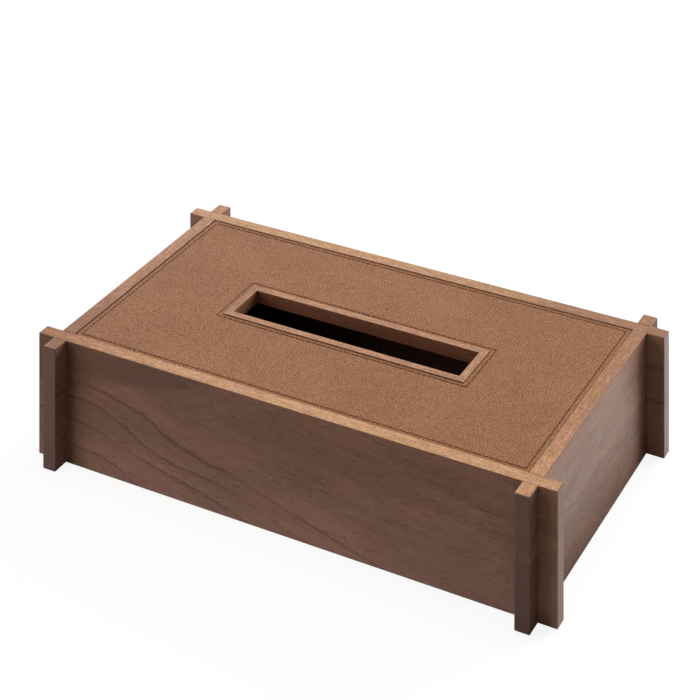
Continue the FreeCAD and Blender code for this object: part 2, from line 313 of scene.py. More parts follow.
def lid_cloth():
    """The cloth under the lid: a thin skin with soft edges from its rim to the window."""
    low, high = LINING_LOW.z, LINING_HIGH.z
    soft = (high - low) / 2
    inner = [(FRAME_HALF + soft * 0.3, 0.2 * MM, high), (FRAME_HALF, 0.1 * MM, low + soft),
             (FRAME_HALF + soft * 0.3, 0.2 * MM, low)]
    first, last = FRAME_HALF + CLOTH_RIM, LINING_HALF - CLOTH_RIM
    spread = [(first + (last - first) * share, 0.5 * MM, low) for share in np.linspace(0, 1, 8)]
    outer = [(LINING_HALF - soft * 0.3, 0.4 * MM, low), (LINING_HALF, 0.5 * MM, low + soft),
             (LINING_HALF - soft * 0.3, 0.4 * MM, high)]
    back = [(ring[0], ring[1], high) for ring in spread[::-1]]
    return ring_skin("lid_cloth", inner + spread + outer + back, (60, 34, 3))


def felt_pad():
    """The felt in the bottom: two grids that meet along a soft edge.

    Each is a height above or below the middle, half the thickness times
    sqrt(1 - (1 - d)^2), where d is the distance from the edge over half the thickness, up
    to 1. The upper one also ripples by a few hundredths of a millimetre.
    """
    low, high = np.array(FELT_LOW), np.array(FELT_HIGH)
    soft = (high[2] - low[2]) / 2
    rim = np.array([0, 0.06, 0.25, 0.55, 1.0]) * soft
    lines = []
    for axis, count in ((0, 46), (1, 26)):
        inside = np.linspace(low[axis] + soft * 2, high[axis] - soft * 2, count)
        lines.append(np.concatenate([low[axis] + rim, inside, high[axis] - rim[::-1]]))
    x, y = np.meshgrid(*lines, indexing="ij")
    edge = np.minimum.reduce([x - low[0], high[0] - x, y - low[1], high[1] - y])
    rise = soft * np.sqrt(1 - (1 - np.clip(edge / soft, 0, 1)) ** 2)
    ripple = FELT_RIPPLE * (np.sin(x * 93 + 1) * np.cos(y * 127) - 1) * np.clip(edge / soft - 1, 0, 1)
    middle = low[2] + soft
    upper = np.stack([x, y, middle + rise + ripple], axis=2)
    under = np.stack([x, y, middle - rise], axis=2)
    points = np.concatenate([upper.reshape(-1, 3), under.reshape(-1, 3)])
    quads = grid_faces(*x.shape)
    faces = quads.tolist() + (quads[:, ::-1] + x.size).tolist()
    piece = add_mesh("felt_pad", points, faces)
    shell = bmesh.new()
    shell.from_mesh(piece.data)
    bmesh.ops.remove_doubles(shell, verts=shell.verts, dist=WELD_WITHIN)
    shell.to_mesh(piece.data)
    shell.free()
    return piece


# ------------------------------------------------------------------ building materials

class Finish:
    """A node material built step by step. A step returns the socket of its result."""

    def __init__(self, name, **constants):
        self.material = bpy.data.materials.new(name)
        self.material.use_nodes = True
        self.tree = self.material.node_tree
        self.tree.nodes.clear()
        self.shader = self.node("ShaderNodeBsdfPrincipled", constants)
        output = self.node("ShaderNodeOutputMaterial", {})
        self.tree.links.new(self.shader.outputs[0], output.inputs["Surface"])
        self.coordinates = self.node("ShaderNodeTexCoord", {})

    def put(self, socket, value):
        """Sets a constant on a socket, or links another node's result to it."""
        if isinstance(value, bpy.types.NodeSocket):
            self.tree.links.new(value, socket)
        else:
            socket.default_value = value

    def node(self, kind, inputs, **settings):
        """A new node. inputs go by number or by name, where _ may stand for a space."""
        made = self.tree.nodes.new(kind)
        for key, value in settings.items():
            setattr(made, key, value)
        for key, value in inputs.items():
            self.put(made.inputs[key.replace("_", " ") if isinstance(key, str) else key], value)
        return made

    def place(self, size, turn=(0, 0, 0), shift=(0, 0, 0)):
        """Object coordinates counted in cells of this size, turned and shifted."""
        inputs = {"Vector": self.coordinates.outputs["Object"], "Location": shift,
                  "Rotation": turn, "Scale": size}
        return self.node("ShaderNodeMapping", inputs, vector_type="TEXTURE").outputs[0]

    def cell(self, vector, size, shift):
        """A vector counted in cells of this size and shifted by whole and part cells."""
        inputs = {0: vector, 1: tuple(1 / part for part in size), 2: shift}
        return self.node("ShaderNodeVectorMath", inputs, operation="MULTIPLY_ADD").outputs[0]

    def split(self, vector):
        return self.node("ShaderNodeSeparateXYZ", {0: vector}).outputs

    def join(self, x, y, z):
        return self.node("ShaderNodeCombineXYZ", {0: x, 1: y, 2: z}).outputs[0]

    def noise(self, vector, detail=2.0, roughness=0.5):
        inputs = {"Vector": vector, "Scale": 1.0, "Detail": detail, "Roughness": roughness}
        return self.node("ShaderNodeTexNoise", inputs).outputs[0]

    def math(self, operation, a, b=0.0, c=0.0):
        return self.node("ShaderNodeMath", {0: a, 1: b, 2: c}, operation=operation).outputs[0]

    def sum(self, first, *pairs):
        """first plus each (value, weight) pair's product."""
        total = first
        for value, weight in pairs:
            total = self.math("MULTIPLY_ADD", value, weight, total)
        return total

    def swing(self, value):
        """How far a noise is above or below its middle."""
        return self.math("SUBTRACT", value, 0.5)

    def range(self, value, low, high, to_low=0.0, to_high=1.0, smooth=True):
        """The value carried from one range to another and held at both ends of it."""
        inputs = {"Value": value, "From Min": low, "From Max": high, "To Min": to_low,
                  "To Max": to_high}
        kind = "SMOOTHSTEP" if smooth else "LINEAR"
        return self.node("ShaderNodeMapRange", inputs, interpolation_type=kind).outputs[0]

    def ramp(self, value, stops):
        """A colour between (place from 0 to 1, colour or grey) stops."""
        made = self.node("ShaderNodeValToRGB", {0: value})
        elements = made.color_ramp.elements
        for number, (position, colour) in enumerate(stops):
            element = elements[number] if number < 2 else elements.new(position)
            element.position = position
            element.color = (*colour, 1) if hasattr(colour, "__len__") else (colour,) * 3 + (1,)
        return made.outputs[0]

    def mix(self, factor, a, b, blend="MIX"):
        """Colour a blended with b by the factor. A tuple is a constant colour."""
        made = self.node("ShaderNodeMix", {}, data_type="RGBA", blend_type=blend)
        for number, value in ((0, factor), (6, a), (7, b)):
            self.put(made.inputs[number], (*value, 1) if isinstance(value, tuple) else value)
        return made.outputs[2]

    def shades(self, value, low, high, stops):
        """A colour that changes evenly between (place, colour) stops along the value."""
        return self.ramp(self.range(value, low, high, smooth=False),
                         [((place - low) / (high - low), shade) for place, shade in stops])

    def stepped(self, value, low, high, stops):
        """A tone that changes evenly between (place, tone) stops along the value."""
        made = self.ramp(self.range(value, low, high, smooth=False),
                         [((place - low) / (high - low), 0.5 + tone) for place, tone in stops])
        return self.math("SUBTRACT", made, 0.5)

    def curve(self, value, path, reach):
        """The height of a smooth path through (place, height) points, at each place."""
        across = self.range(value, -reach, reach, smooth=False)
        made = self.node("ShaderNodeFloatCurve", {"Value": across})
        points = made.mapping.curves[0].points
        for number, (place, height) in enumerate(path):
            point = points[number] if number < 2 else points.new(0.5, 0.5)
            point.location = (place / (2 * reach) + 0.5, height / (2 * reach) + 0.5)
        made.mapping.update()
        return self.math("MULTIPLY_ADD", made.outputs[0], 2 * reach, -reach)

    def normal_part(self, axis):
        """How far the surface faces along one axis of the piece, from 0 to 1, either way."""
        return self.math("ABSOLUTE", self.split(self.coordinates.outputs["Normal"])[axis])

    def finish(self, colour, roughness, height, depth):
        """The material, with a relief this deep where the height goes from 0 to 1."""
        bump = self.node("ShaderNodeBump", {"Height": height, "Distance": depth, "Strength": 1.0})
        parts = {"Base Color": colour, "Roughness": roughness, "Normal": bump.outputs[0]}
        for name, value in parts.items():
            self.put(self.shader.inputs[name], value)
        return self.material


# ------------------------------------------------------------------ wood

# Places on a board are in millimetres: along it from its middle, and up from its foot. The
# way towards its far upper corner is the place along it plus CORNER_LEAN times the height
# above MIDDLE_HEIGHT.
BOARD_REACH = 160.0
BOARD_HEIGHT = 65.0
MIDDLE_HEIGHT = 32.0
CORNER_LEAN = 0.5
LINE_REACH = 20.0
TINT_REACH = 150.0

# A painted sheen, a pale reflection of the floor painted on, lies on an end board's outer face, from its
# front crossing towards its far corner. Each pair is where it comes or goes: across the box, along the
# board, and towards the corner.
PAINTED_SHEEN_COLOUR = (0.52, 0.445, 0.395)
PAINTED_SHEEN_OUTSIDE = (135, 137)
PAINTED_SHEEN_START = (-80, -79)
PAINTED_SHEEN_FADE = (40, 70)

# The tops' colours: paler than the faces, partly as sanded wood and partly as painted light from the
# lamps above.
SANDED_AND_LIT_TOP_COLOURS = ((0.0, (0.280, 0.130, 0.060)), (0.5, (0.455, 0.230, 0.112)),
                  (1.0, (0.660, 0.378, 0.205)))
END_COLOUR = (0.12, 0.070, 0.056)
# The rounded edges' dark colour is painted shade: it dims their highlights and darkens the gap beside the
# leather.
ARRIS_SHADE_COLOUR = (0.070, 0.026, 0.010)
PLAIN = (1.0, 1.0, 1.0)


class Walnut(Finish):
    """Walnut as a solid: what each face shows is where it cuts the same grain.

    The grain runs along one axis, tilted by slope and yaw and bent by a slow noise. Bands,
    fibres, flecks, clouds and pores are noise drawn out along it. x, y and z are the places
    along, across and up the board.
    """

    def __init__(self, name, along, seed, slope=0.0, yaw=0.0):
        super().__init__(name, IOR=1.42)
        heading = 0.0 if along == "x" else math.pi / 2
        self.x, self.y, self.z = self.split(self.place((MM,) * 3, (0, 0, heading)))
        self.along = (self.x, -BOARD_REACH, BOARD_REACH)
        self.up = (self.z, 0, BOARD_HEIGHT)
        tilted = self.place((MM,) * 3, (0, slope, heading + yaw))
        self.shift = (seed * 0.731, seed * 0.417, seed * 0.293)
        bend = self.swing(self.noise(self.cell(tilted, (24, 8, 8), self.shift), 1.0))
        length, side, height = self.split(tilted)
        self.grain = self.join(length, self.sum(side, (bend, 3.0)), self.sum(height, (bend, 3.0)))
        self.bands = self.drawn_out(150, 4.5, 3.0)
        self.fibres = self.drawn_out(6.5, 0.70, 2.0)
        self.flecks = self.drawn_out(2.8, 1.0, 2.0, more=0.37)
        self.clouds = self.drawn_out(42, 13, 2.0, more=0.19)
        self.pores = self.range(self.drawn_out(4.2, 0.46, 1.0, more=0.53), 0.60, 0.70)
        pore_rows = self.range(self.drawn_out(36, 5, 2.0, more=0.71), 0.40, 0.62)
        self.dashes = self.math("MULTIPLY", self.pores, pore_rows)

    def drawn_out(self, size_along, size_across, detail, more=0.0):
        """Noise of this size along and across the grain. more sets it apart from the others."""
        size = (size_along, size_across, size_across)
        shift = tuple(part + more for part in self.shift)
        return self.noise(self.cell(self.grain, size, shift), detail, roughness=0.55)

    def toned(self, level, span, stops):
        """The level with a slow change of tone over the span, where stops are given."""
        return self.math("ADD", level, self.stepped(*span, stops)) if stops else level

    def shaded(self, colour, span, stops):
        """The colour times a slow change of shade over the span, where stops are given."""
        return self.mix(1.0, colour, self.shades(*span, stops), "MULTIPLY") if stops else colour

    def lined(self, level, lines):
        """The level with growth lines drawn on it.

        A line is a path through (place along the board, height) points, with tones at
        distances above and below it. Flecks and clouds make it waver and come and go.
        """
        clear = self.range(self.drawn_out(26, 9, 2.0, more=0.11), 0.30, 0.62, 0.30, 1.10)
        height = self.sum(self.z, (self.swing(self.flecks), 2.2), (self.swing(self.clouds), 5.0))
        for path, tones in lines:
            distance = self.math("SUBTRACT", height, self.curve(self.x, path, BOARD_REACH))
            level = self.sum(level, (self.stepped(distance, -LINE_REACH, LINE_REACH, tones), clear))
        return level

    def with_painted_sheen(self, colour, shares, towards_corner):
        """The colour under a painted sheen, a pale reflection painted on and streaked along the grain.

        shares gives how much of it there is at each height.
        """
        outside = self.range(self.math("ABSOLUTE", self.y), *PAINTED_SHEEN_OUTSIDE)
        between = self.math("MULTIPLY", self.range(self.x, *PAINTED_SHEEN_START),
                            self.range(towards_corner, *PAINTED_SHEEN_FADE, 1.0, 0.0))
        streaks = self.range(self.drawn_out(34, 1.5, 2.0, more=0.61), 0.34, 0.66, 0.72, 1.28)
        painted_sheen = self.stepped(*self.up, shares)
        for part in (between, outside, streaks):
            painted_sheen = self.math("MULTIPLY", painted_sheen, part)
        return self.mix(painted_sheen, colour, PAINTED_SHEEN_COLOUR)

    def face(self, tone=0.0, strength=1.0, warm=0.0, tint=PLAIN, lines=(), on=(), up=(), corner=(),
             painted_sheen=(), shade_up=(), shade_along=()):
        """The colour of the upright faces.

        strength scales the figure, warm takes out some green and more blue, and tint multiplies the
        colour. on, up and corner change the tone along the board, up it and towards its far upper corner;
        the corner tone is painted shadow. The pale painted sheen is a reflection painted on, given by
        height. shade_up and shade_along multiply the colour by place.
        """
        level = self.sum(0.5 + tone, (self.swing(self.bands), 0.30 * strength),
                         (self.swing(self.fibres), 0.50 * strength),
                         (self.swing(self.flecks), 0.34 * strength),
                         (self.swing(self.clouds), 0.45 * strength),
                         (self.dashes, -0.52 * strength ** 0.5))
        towards_corner = self.sum(-MIDDLE_HEIGHT * CORNER_LEAN, (self.x, 1.0), (self.z, CORNER_LEAN))
        level = self.toned(level, self.along, on)
        level = self.toned(level, self.up, up)
        # Painted shadow towards the far upper corner, where stops are given.
        level = self.toned(level, (towards_corner, -BOARD_REACH, BOARD_REACH), corner)
        level = self.lined(level, lines)
        green, blue = 1 - warm * 0.5, 1 - warm
        colour = self.ramp(level, ((0.0, (0.132, 0.057 * green, 0.034 * blue)),
                                   (0.5, (0.254, 0.120 * green, 0.076 * blue)),
                                   (1.0, (0.390, 0.200 * green, 0.134 * blue))))
        colour = self.mix(1.0, colour, tint, "MULTIPLY")
        # Painted sheen: a pale reflection painted onto the face, where shares are given.
        if painted_sheen:
            colour = self.with_painted_sheen(colour, painted_sheen, towards_corner)
        colour = self.shaded(colour, self.up, shade_up)
        return self.shaded(colour, self.along, shade_along)

    def top(self, tone=0.0, blush=0.5, tint=PLAIN, on=(), shade_along=()):
        """The colour of faces that look up: paler, partly as sanded wood and partly as painted light from
        above, with mottled flecks and short veins.

        blush is how far its blotches lean to pink and to yellow. tint multiplies the colour,
        a little bluer towards the left of the box than towards the right. on changes the tone
        along the board, and shade_along multiplies the colour by place.
        """
        mottle = self.noise(self.cell(self.grain, (1.7, 0.78, 0.78), self.shift), 2.0, 0.6)
        veins = self.drawn_out(9, 1.5, 2.0, more=0.83)
        level = self.sum(0.5 + tone, (self.swing(mottle), 1.90), (self.swing(veins), 1.25),
                         (self.swing(self.clouds), 0.50), (self.swing(self.bands), 0.20),
                         (self.dashes, -0.15))
        colour = self.ramp(self.toned(level, self.along, on), SANDED_AND_LIT_TOP_COLOURS)
        blotches = self.ramp(self.drawn_out(14, 4, 2.0, more=0.97),
                             ((0.30, (1.04, 0.975, 1.0 + 0.42 * blush)),
                              (0.70, (0.98, 1.01, 1.0 - 0.36 * blush))))
        colour = self.mix(1.0, colour, blotches, "MULTIPLY")
        red, green, blue = tint
        from_left = self.split(self.place((MM,) * 3))[0]
        colour = self.shaded(colour, (from_left, -TINT_REACH, TINT_REACH),
                             ((-TINT_REACH, (red, green, blue * 1.05)),
                              (TINT_REACH, (red, green, blue * 0.94))))
        return self.shaded(colour, self.along, shade_along)


def walnut(name, along, seed, slope=0.0, yaw=0.0, face=None, top=None, end_mix=0.45,
           end_grain_and_sheen_colour=END_COLOUR, arris_shade_colour=ARRIS_SHADE_COLOUR):
    """A walnut finish: upright faces, a paler top (sanded, and partly painted light from above), end
    grain and rounded edges.

    face and top hold what the methods of these names take. Faces across the grain show end_mix of their
    end colour, where a pale grey end colour is painted sheen, and the rounded edges beside the top are
    duller and show a dark arris colour: painted shade that dims their highlights and darkens the gap
    beside the leather.
    """
    wood = Walnut(name, along, seed, slope, yaw)
    facing_up = wood.normal_part(2)
    upward = wood.range(facing_up, 0.80, 0.99)
    arris = wood.math("MULTIPLY", wood.range(facing_up, 0.05, 0.25), wood.math("SUBTRACT", 1.0, upward))
    # Faces that look up take the paler top colour, partly sanded wood and partly painted light from
    # above.
    colour = wood.mix(upward, wood.face(**(face or {})), wood.top(**(top or {})))
    end_grain = wood.range(wood.normal_part(0 if along == "x" else 1), 0.80, 0.99)
    # Faces across the grain take the end colour; where that is pale grey, it is painted sheen.
    colour = wood.mix(wood.math("MULTIPLY", end_grain, end_mix), colour, end_grain_and_sheen_colour)
    tint = wood.ramp(wood.drawn_out(38, 11, 2.0, more=0.29),
                     ((0.3, (1.012, 0.995, 0.990)), (0.7, (0.990, 1.004, 1.0))))
    colour = wood.mix(1.0, colour, tint, "MULTIPLY")
    # Painted shade on the rounded edges.
    colour = wood.mix(arris, colour, arris_shade_colour)
    roughness = wood.sum(0.46, (wood.fibres, 0.10), (wood.pores, 0.10), (arris, 0.35))
    relief = wood.sum(0.0, (wood.fibres, 0.5), (wood.flecks, 0.2), (wood.pores, -0.8))
    return wood.finish(colour, roughness, relief, depth=0.04 * MM)


PLY_PAIR = 2.0


def plywood():
    """Birch plywood: face veneer with a quiet figure, and alternate plies at its edges."""
    ply = Finish("plywood", IOR=1.35)
    height = ply.split(ply.place((MM,) * 3))[2]
    plies = ply.range(ply.math("SINE", ply.math("MULTIPLY", height, 2 * math.pi / PLY_PAIR)), -0.4, 0.4)
    veneer = ply.noise(ply.place((26 * MM, 1.3 * MM, 1.3 * MM)), 3.0, 0.6)
    flecks = ply.noise(ply.place((3.5 * MM, 0.4 * MM, 0.4 * MM), shift=(0.3, 0.1, 0.2)), 1.0)
    face = ply.ramp(ply.sum(0.0, (veneer, 0.7), (flecks, 0.3)),
                    ((0.25, (0.46, 0.32, 0.19)), (0.75, (0.68, 0.52, 0.35))))
    edge = ply.mix(plies, (0.34, 0.22, 0.13), (0.62, 0.46, 0.30))
    colour = ply.mix(ply.range(ply.normal_part(2), 0.4, 0.8), edge, face)
    return ply.finish(colour, ply.sum(0.5, (flecks, 0.15)), flecks, depth=0.04 * MM)


# ------------------------------------------------------------------ leather, cloth and metal

PEBBLE_ROW = 1.516
PEBBLE_TOP = 0.9


def tan_leather():
    """Tan leather: small, nearly even pebbles, fine grit and slow clouds.

    The pebbles are the sum of three cosines at 60 degrees to each other, about 1.5 mm from
    row to row. Slow noise shifts their places and changes their strength, and a smooth
    minimum flattens their tops. The colour leans warmer and darker to the right.
    """
    hide = Finish("tan_leather", IOR=1.25)
    x, y, z = hide.split(hide.place((MM,) * 3))
    bend = [hide.noise(hide.place((3.8 * MM,) * 3, shift=(0, 0, 7 * number * MM)), 1.0)
            for number in (1, 2)]
    across = hide.sum(x, (bend[0], 3.2), (z, 0.7))
    along = hide.sum(y, (bend[1], 3.2), (z, 0.7))
    step = 2 * math.pi / PEBBLE_ROW
    waves = 0.0
    for degrees in (0, 60, 120):
        turn = math.radians(degrees)
        run = hide.sum(0.0, (across, math.cos(turn) * step), (along, math.sin(turn) * step))
        waves = hide.math("ADD", hide.math("COSINE", run), waves)
    patchy = hide.noise(hide.place((3.4 * MM,) * 3, shift=(0, 0, 3 * MM)), 1.0)
    strong = hide.range(patchy, 0.3, 0.7, 0.3, 1.4)
    pebble = hide.math("MULTIPLY", hide.math("SMOOTH_MIN", waves, PEBBLE_TOP, 1.0), strong)
    grit = hide.noise(hide.place((0.60 * MM,) * 3), 1.0, 0.6)
    clouds = hide.noise(hide.place((38 * MM,) * 3), 3.0, 0.55)
    patches = hide.noise(hide.place((7 * MM,) * 3), 2.0, 0.55)
    level = hide.sum(0.53, (pebble, 0.245), (hide.swing(grit), 1.60), (hide.swing(clouds), 0.34),
                     (hide.swing(patches), 0.22))
    colour = hide.ramp(level, ((0.0, (0.175, 0.080, 0.040)), (0.5, (0.335, 0.160, 0.086)),
                               (1.0, (0.520, 0.268, 0.153))))
    to_right = hide.range(hide.sum(x, (y, -0.25)), -150, 150, smooth=False)
    warmth = hide.ramp(to_right, ((0.1, (0.98, 0.98, 1.0)), (0.9, (0.935, 0.862, 0.735))))
    colour = hide.mix(1.0, colour, warmth, "MULTIPLY")
    roughness = hide.sum(0.66, (pebble, -0.03), (grit, 0.08))
    relief = hide.sum(0.5, (pebble, 0.20), (grit, 0.35), (patches, 0.3))
    return hide.finish(colour, roughness, relief, depth=0.10 * MM)


def brown_thread():
    """Waxed thread: two tones wound along each stitch."""
    thread = Finish("brown_thread", IOR=1.20)
    twist = thread.noise(thread.place((0.5 * MM, 0.35 * MM, 0.35 * MM)), 1.0)
    tone = thread.noise(thread.place((9 * MM,) * 3), 1.0)
    colour = thread.ramp(thread.sum(0.0, (twist, 0.7), (tone, 0.3)),
                         ((0.3, (0.088, 0.030, 0.009)), (0.7, (0.190, 0.072, 0.024))))
    return thread.finish(colour, thread.sum(0.70, (twist, 0.2)), twist, depth=0.06 * MM)


def napped_cloth(name, dark, light, weave, nap):
    """A napped cloth: crossed threads, weave mm apart, which a nap of 1 hides wholly."""
    cloth = Finish(name, IOR=1.40, Sheen_Weight=0.25, Sheen_Roughness=0.5)
    x, y = cloth.split(cloth.place((weave * MM,) * 3))[:2]
    crossed = cloth.math("MULTIPLY", cloth.math("SINE", cloth.math("MULTIPLY", x, 2 * math.pi)),
                         cloth.math("SINE", cloth.math("MULTIPLY", y, 2 * math.pi)))
    fuzz = cloth.noise(cloth.place((0.9 * MM,) * 3), 3.0, 0.75)
    slow = cloth.noise(cloth.place((14 * MM,) * 3), 2.0)
    level = cloth.sum(-0.15, (fuzz, 0.9), (slow, 0.4), (crossed, 0.10 * (1 - nap)))
    colour = cloth.ramp(level, ((0.3, dark), (0.7, light)))
    relief = cloth.sum(0.0, (fuzz, nap), (crossed, 0.5 * (1 - nap)))
    return cloth.finish(colour, cloth.sum(0.85, (fuzz, 0.12)), relief, depth=0.15 * MM)


def plated_metal(name, colour, gloss):
    """Bright plating with fine turned lines and a little wear."""
    metal = Finish(name, Metallic=1.0)
    lines = metal.noise(metal.place((0.05 * MM, 1.2 * MM, 0.05 * MM)), 2.0)
    wear = metal.noise(metal.place((0.9 * MM,) * 3), 3.0, 0.6)
    dull = tuple(0.8 * part for part in colour)
    shade = metal.mix(metal.range(wear, 0.35, 0.65), colour, dull)
    roughness = metal.sum(gloss, (wear, 0.18), (lines, 0.06))
    return metal.finish(shade, roughness, lines, depth=0.01 * MM)


# ------------------------------------------------------------------ dressing the part

def dress(node, material):
    """Gives a CAD node its finish on every material slot."""
    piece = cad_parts[node]
    if not piece.material_slots:
        piece.data.materials.append(material)
    for held in piece.material_slots:
        held.material = material


def piece_of(piece, material, body, slot, *nodes):
    """Finishes a new piece, sets it riding on its body and lets it stand for its nodes."""
    piece.data.materials.append(material)
    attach(piece, body)
    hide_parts(*nodes)
    return piece


# Each growth line is its path along the board and up it, with its tones at distances from it.
DARK_LINE = ((-1.7, 0.0), (0.0, -0.42), (0.9, 0.10), (5.0, 0.0))
FRONT_LINES = (
    (((-150, 46), (-130, 46), (-110, 45), (-98, 42), (-80, 37), (-66, 29), (-50, 25), (-22, 20.6),
      (2, 15), (24, 9.5), (50, 3), (100, -14), (150, -40)),
     ((-1.8, 0.05), (0.0, -0.46), (1.0, 0.13), (7.0, 0.14), (15.0, -0.06))),
    (((-150, 38), (-130, 37), (-112, 35), (-98, 30), (-88, 25), (-70, 19), (-30, 13.4), (-12, 9),
      (20, 0), (60, -14), (150, -40)), DARK_LINE),
    (((-150, 26), (-130, 25), (-110, 22), (-90, 17), (-60, 10), (-22, 1.4), (30, -20), (150, -60)),
     DARK_LINE),
    (((-150, 13), (-130, 11), (-100, 7), (-90, 2), (-60, -12), (150, -80)), DARK_LINE),
    (((-150, 42), (-130, 45), (-112, 50), (-90, 55), (-60, 61), (-30, 75), (150, 120)),
     ((-5.0, 0.0), (0.0, -0.38), (1.5, -0.30), (5.0, -0.56), (12.0, -0.50))),
    (((-150, 120), (20, 80), (50, 63), (70, 57), (90, 49), (102, 46), (126, 45), (150, 43)),
     ((-1.0, 0.03), (0.0, -0.24), (1.5, -0.06), (6.0, 0.0))))
RIGHT_LINES = (
    (((-150, 44), (-60, 43), (0, 41), (40, 39.5), (150, 38)), ((-4.0, -0.02), (0.0, -0.18), (2.0, 0.06))),
    (((-150, 33), (-60, 31), (0, 31), (40, 32), (150, 34)),
     ((-2.0, -0.10), (0.0, -0.22), (2.0, 0.16), (5.0, 0.10), (8.0, 0.0))),
    (((-150, 24), (-60, 23), (0, 20), (40, 21), (150, 22)),
     ((-1.5, 0.02), (0.0, -0.08), (1.5, 0.04), (4.0, 0.0))))
BACK_LINES = (
    (((-150, 20), (0, 24), (150, 30)), DARK_LINE),
    (((-150, 42), (0, 45), (150, 48)), DARK_LINE))
LEFT_LINES = (
    (((-150, 18), (0, 14), (150, 16)), DARK_LINE),
    (((-150, 38), (0, 41), (150, 44)), DARK_LINE))

dress("front_wall", walnut(
    "walnut_front", "x", 1.0, slope=math.radians(5),
    face=dict(
        strength=1.25, lines=FRONT_LINES,
        # Darker and, below, warmer beside both horns: painted shade where the horns keep the light off.
        on=((-140, -0.22), (-124, -0.24), (-105, -0.09), (-60, -0.01), (-20, -0.05), (20, 0.0),
            (80, 0.06), (118, 0.06), (128, -0.08), (131, -0.22), (139, -0.16), (141, 0.32)),
        up=((3, 0.24), (9, 0.17), (25, 0.02), (55, -0.14)),
        shade_up=((3, (0.975, 1.0, 1.12)), (32, 1.0), (60, (1.03, 1.0, 0.92))),
        shade_along=((-137, (1.03, 1.0, 0.80)), (-104, (1.01, 1.0, 0.97)), (-90, 1.0), (139, 1.0),
                     (141, (1.0, 0.98, 0.84)))),
    top=dict(
        tone=0.04, blush=0.35,
        on=((-150, -0.42), (-132, -0.30), (-95, 0.04), (0, 0.20), (150, 0.12)),
        shade_along=((60, 1.0), (150, (0.96, 0.94, 0.92)))),
    # The pale grey end colour is painted sheen of the lamp on the horns' end grain.
    end_grain_and_sheen_colour=(0.36, 0.31, 0.29), arris_shade_colour=(0.18, 0.09, 0.05)))
dress("back_wall", walnut(
    "walnut_back", "x", 2.0, slope=math.radians(-3),
    face=dict(
        # A darker, cooler outer face: painted shade that offsets the strong key lamp behind the box.
        tone=-0.16, warm=0.12, tint=(0.82, 0.88, 0.84), lines=BACK_LINES,
        on=((-141, 0.40), (-139, 0.0), (139, 0.0), (141, 0.40))),
    top=dict(
        blush=0.4, tint=(1.0, 1.04, 1.05),
        on=((-150, 0.16), (0, 0.08), (60, -0.12), (110, -0.62), (150, -0.68)),
        shade_along=((30, 1.0), (85, (0.94, 0.90, 0.87)), (150, (0.90, 0.85, 0.82)))),
    # The pale grey end colour is painted sheen of the lamp on the horns' end grain.
    end_mix=0.65, end_grain_and_sheen_colour=(0.44, 0.355, 0.33), arris_shade_colour=(0.30, 0.150, 0.075)))
dress("left_end_wall", walnut(
    "walnut_left", "y", 3.4, slope=math.radians(2), yaw=math.radians(8),
    # Painted shade on the horn past the front board.
    face=dict(lines=LEFT_LINES, on=((-81, -0.15), (-79, 0.0))),
    top=dict(
        blush=0.4, tint=(1.0, 1.01, 1.10),
        on=((-90, -0.62), (-60, -0.40), (0, -0.12), (80, -0.04)),
        shade_along=((-68, (0.88, 0.89, 0.92)), (-30, 1.0))),
    end_mix=0.80))
dress("right_end_wall", walnut(
    "walnut_right", "y", 4.0, slope=math.radians(5), yaw=math.radians(3),
    face=dict(
        # A lighter face overall: painted light in place of more lamp on this side.
        tone=0.14, strength=1.9, lines=RIGHT_LINES,
        # Painted shade on the horn in front of the front board, and painted light growing towards the
        # back.
        on=((-81, -0.48), (-79, 0.0), (-20, 0.04), (10, 0.16), (40, 0.28)),
        # Painted shade, darker towards the floor.
        up=((4, -0.86), (9, -0.56), (16, -0.34), (22, -0.16), (28, -0.06), (36, 0.14), (60, 0.09)),
        # Painted shadow of the back board's horn, reaching further forward higher up.
        corner=((40, 0.0), (58, -0.36), (71, -1.05)),
        # Painted sheen: the reflection of the pale floor, painted on, growing with height.
        painted_sheen=((8, 0.0), (16, 0.11), (26, 0.18), (36, 0.27), (65, 0.27)),
        # Painted contact shadow along the foot, and a little painted light at the top.
        shade_up=((0, (0.70, 0.62, 0.50)), (3, (0.84, 0.78, 0.66)), (7, (1.0, 0.97, 0.90)),
                  (34, 1.0), (52, 1.0), (65, (1.08, 1.03, 0.98))),
        # More painted shadow of the back board's horn.
        shade_along=((52, 1.0), (60, (0.88, 0.90, 0.90)), (71, (0.54, 0.48, 0.45)))),
    top=dict(
        blush=0.4, tint=(1.0, 0.93, 0.89),
        on=((-90, 0.08), (-40, -0.12), (10, -0.28), (80, -0.48)),
        shade_along=((-88, (1.04, 1.07, 1.04)), (-66, (1.06, 1.10, 1.06)), (-45, 1.0),
                     (0, (0.985, 0.96, 0.93)), (40, (0.985, 0.96, 0.93)), (80, (0.94, 0.91, 0.87)))),
    end_mix=0.80, end_grain_and_sheen_colour=(0.105, 0.056, 0.041), arris_shade_colour=(0.26, 0.155, 0.105)))

# Each side's slot strip: the tone of its inner face, darker as painted shade inside the slot, and of its
# top.
STRIP_TONES = {"front": (-0.24, -0.12), "back": (-0.24, -0.12), "left": (-0.08, -0.22),
               "right": (-0.24, -0.18)}
for number, (side, (inner_shade_tone, top_tone)) in enumerate(STRIP_TONES.items()):
    direction = "x" if side in ("front", "back") else "y"
    dress("lid_rest_" + side, walnut("ledge_" + side, direction, 5.0 + number, face=dict(tone=-0.1)))
    strip = frame_strip("slot_strip_" + side, 0 if direction == "x" else 1,
                        1 if side in ("back", "right") else -1)
    strip_wood = walnut("walnut_strip_" + side, direction, 9.0 + number,
                        # Darker, warmer inner faces: painted shade inside the slot.
                        face=dict(tone=inner_shade_tone, warm=0.40),
                        top=dict(tone=top_tone, blush=0.2, tint=(1.0, 1.0, 1.11)))
    piece_of(strip, strip_wood, "lid", "walnut", "slot_frame_" + side)

